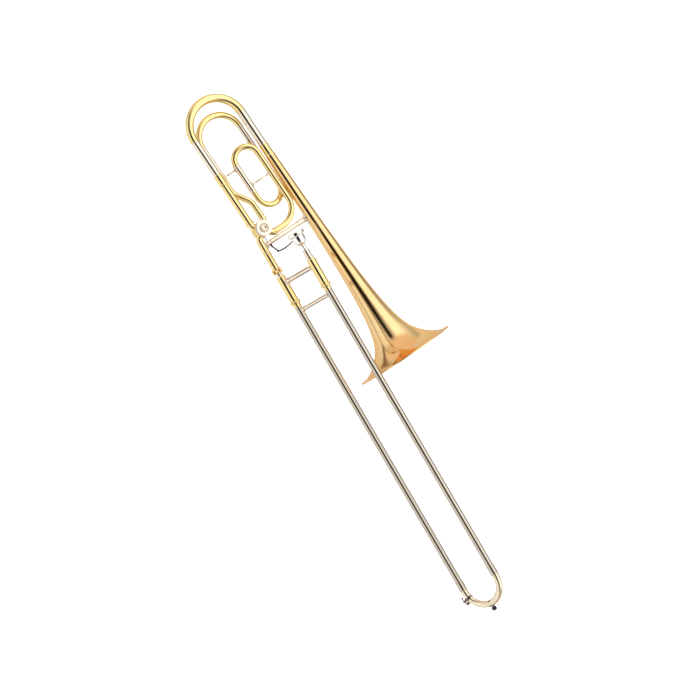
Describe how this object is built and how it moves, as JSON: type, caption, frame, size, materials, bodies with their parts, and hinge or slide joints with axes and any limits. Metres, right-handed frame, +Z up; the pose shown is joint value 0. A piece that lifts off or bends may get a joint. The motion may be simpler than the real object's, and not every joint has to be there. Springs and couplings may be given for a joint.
{
  "type": "tenor trombone",
  "caption": "Tenor trombone with a rotary-valve F attachment: flared bell, tuning slides, hand slide with braces, bow, bumper and water key.",
  "frame": {"origin": "centre of the inner slide brace, midway between the two hand slide tubes, where the right hand and the left fingers hold it", "axes": "+X forward along the hand slide to its bow, +Z up in the slide's plane to the mouthpiece tube, +Y to the player's left, where the bell lies"},
  "size_m": [1.1843, 0.2421, 0.2108],
  "materials": {
    "yellow_brass": "polished and lacquered yellow brass",
    "rose_brass": "polished and lacquered gold brass",
    "nickel_silver": "polished nickel silver",
    "bow_nickel": "polished lacquered nickel silver, slightly warm",
    "silver_plate": "bright silver plate",
    "black_rubber": "moulded black rubber",
    "cork": "fine-grained cork"
  },
  "bodies": {
    "slide_frame": {"mouthpiece_receiver": "nickel_silver", "upper_inner_tube": "nickel_silver", "lower_inner_tube": "nickel_silver", "upper_cork_barrel": "yellow_brass", "lower_cork_barrel": "yellow_brass", "upper_barrel_cork": "cork", "lower_barrel_cork": "cork", "upper_barrel_ring": "yellow_brass", "inner_brace": "nickel_silver", "slide_tenon": "nickel_silver"},
    "mouthpiece": {"mouthpiece": "silver_plate"},
    "slide_lock": {"slide_lock_ring": "yellow_brass"},
    "lock_nut": {"bell_lock_nut": "rose_brass"},
    "outer_slide": {"upper_outer_tube": "nickel_silver", "lower_outer_tube": "nickel_silver", "upper_end_sleeve": "yellow_brass", "lower_end_sleeve": "yellow_brass", "outer_brace": "nickel_silver", "upper_bow_sleeve": "nickel_silver", "lower_bow_sleeve": "nickel_silver", "slide_bow": "bow_nickel", "bumper_stem": "nickel_silver", "rubber_bumper": "black_rubber", "water_key_mount": "nickel_silver", "water_key_pin": "nickel_silver"},
    "water_key": {"water_key_lever": "nickel_silver", "water_key_cork": "cork"},
    "bell_section": {"slide_receiver": "yellow_brass", "gooseneck": "yellow_brass", "valve_casing": "yellow_brass", "valve_cap": "nickel_silver", "valve_back_plate": "nickel_silver", "left_valve_cork": "cork", "right_valve_cork": "cork", "neckpipe": "yellow_brass", "neck_sleeve": "nickel_silver", "bell_sleeve": "nickel_silver", "bell_sleeve_ferrule": "yellow_brass", "bell": "rose_brass", "bell_brace": "nickel_silver", "f_tube_upper": "yellow_brass", "loop_tube": "nickel_silver", "bottom_bow": "yellow_brass", "f_upper_sleeve": "nickel_silver", "f_lower_sleeve": "nickel_silver", "f_tube_lower": "yellow_brass", "loop_brace_lower": "nickel_silver", "loop_brace_upper": "nickel_silver", "lever_bracket": "nickel_silver"},
    "main_tuning_slide": {"tuning_bow": "yellow_brass", "bell_side_leg": "nickel_silver", "neck_side_leg": "nickel_silver"},
    "f_tuning_slide": {"f_bow": "yellow_brass", "f_upper_leg": "nickel_silver", "f_lower_leg": "nickel_silver"},
    "rotor": {"rotor": "yellow_brass", "stop_arm": "nickel_silver"},
    "thumb_lever": {"thumb_lever": "nickel_silver"},
    "link_rod": {"link_rod": "nickel_silver"}
  },
  "joints": [
    {"name": "hand_slide", "type": "slide", "parent": "slide_frame", "child": "outer_slide", "axis": [1, 0, 0], "range_m": [0, 0.6]},
    {"name": "mouthpiece_pull", "type": "slide", "parent": "slide_frame", "child": "mouthpiece", "axis": [-1, 0, 0], "range_m": [0, 0.03]},
    {"name": "slide_lock_turn", "type": "hinge", "parent": "slide_frame", "child": "slide_lock", "pos_m": [0.0445, 0, -0.044], "axis": [1, 0, 0], "range_deg": [0, 30]},
    {"name": "lock_nut_turn", "type": "hinge", "parent": "slide_frame", "child": "lock_nut", "pos_m": [-0.0275, 0, -0.044], "axis": [1, 0, 0], "continuous": true},
    {"name": "bell_swivel", "type": "hinge", "parent": "slide_frame", "child": "bell_section", "pos_m": [-0.045, 0, -0.044], "axis": [1, 0, 0], "range_deg": [-35, 0]},
    {"name": "main_tuning_pull", "type": "slide", "parent": "bell_section", "child": "main_tuning_slide", "axis": [-0.9978, -0.0543, -0.038], "range_m": [0, 0.06]},
    {"name": "f_tuning_pull", "type": "slide", "parent": "bell_section", "child": "f_tuning_slide", "axis": [-0.9978, -0.0543, -0.038], "range_m": [0, 0.05]},
    {"name": "lever_press", "type": "hinge", "parent": "bell_section", "child": "thumb_lever", "pos_m": [-0.0832, 0.02561, -0.04194], "axis": [-0.0663, 0.8174, 0.5723], "range_deg": [0, 38.6], "stiffness_Nm_per_rad": 0.05, "springref_deg": -22.92},
    {"name": "rotor_turn", "type": "hinge", "parent": "bell_section", "child": "rotor", "pos_m": [-0.11586, 0.01309, -0.03483], "axis": [0, -0.5736, 0.8192], "range_deg": [0, 90]},
    {"name": "link_swing", "type": "hinge", "parent": "rotor", "child": "link_rod", "pos_m": [-0.11125, 0.03324, -0.05442], "axis": [0, -0.5736, 0.8192], "range_deg": [-90, 0]},
    {"name": "water_key_lift", "type": "hinge", "parent": "outer_slide", "child": "water_key", "pos_m": [0.73512, 0, -0.05453], "axis": [0, 1, 0], "range_deg": [0, 20], "stiffness_Nm_per_rad": 0.02, "springref_deg": -28.65}
  ],
  "couplings": [
    {"joint": "rotor_turn", "follows": "lever_press", "ratio": 2.33},
    {"joint": "link_swing", "follows": "lever_press", "ratio": -2.33}
  ]
}
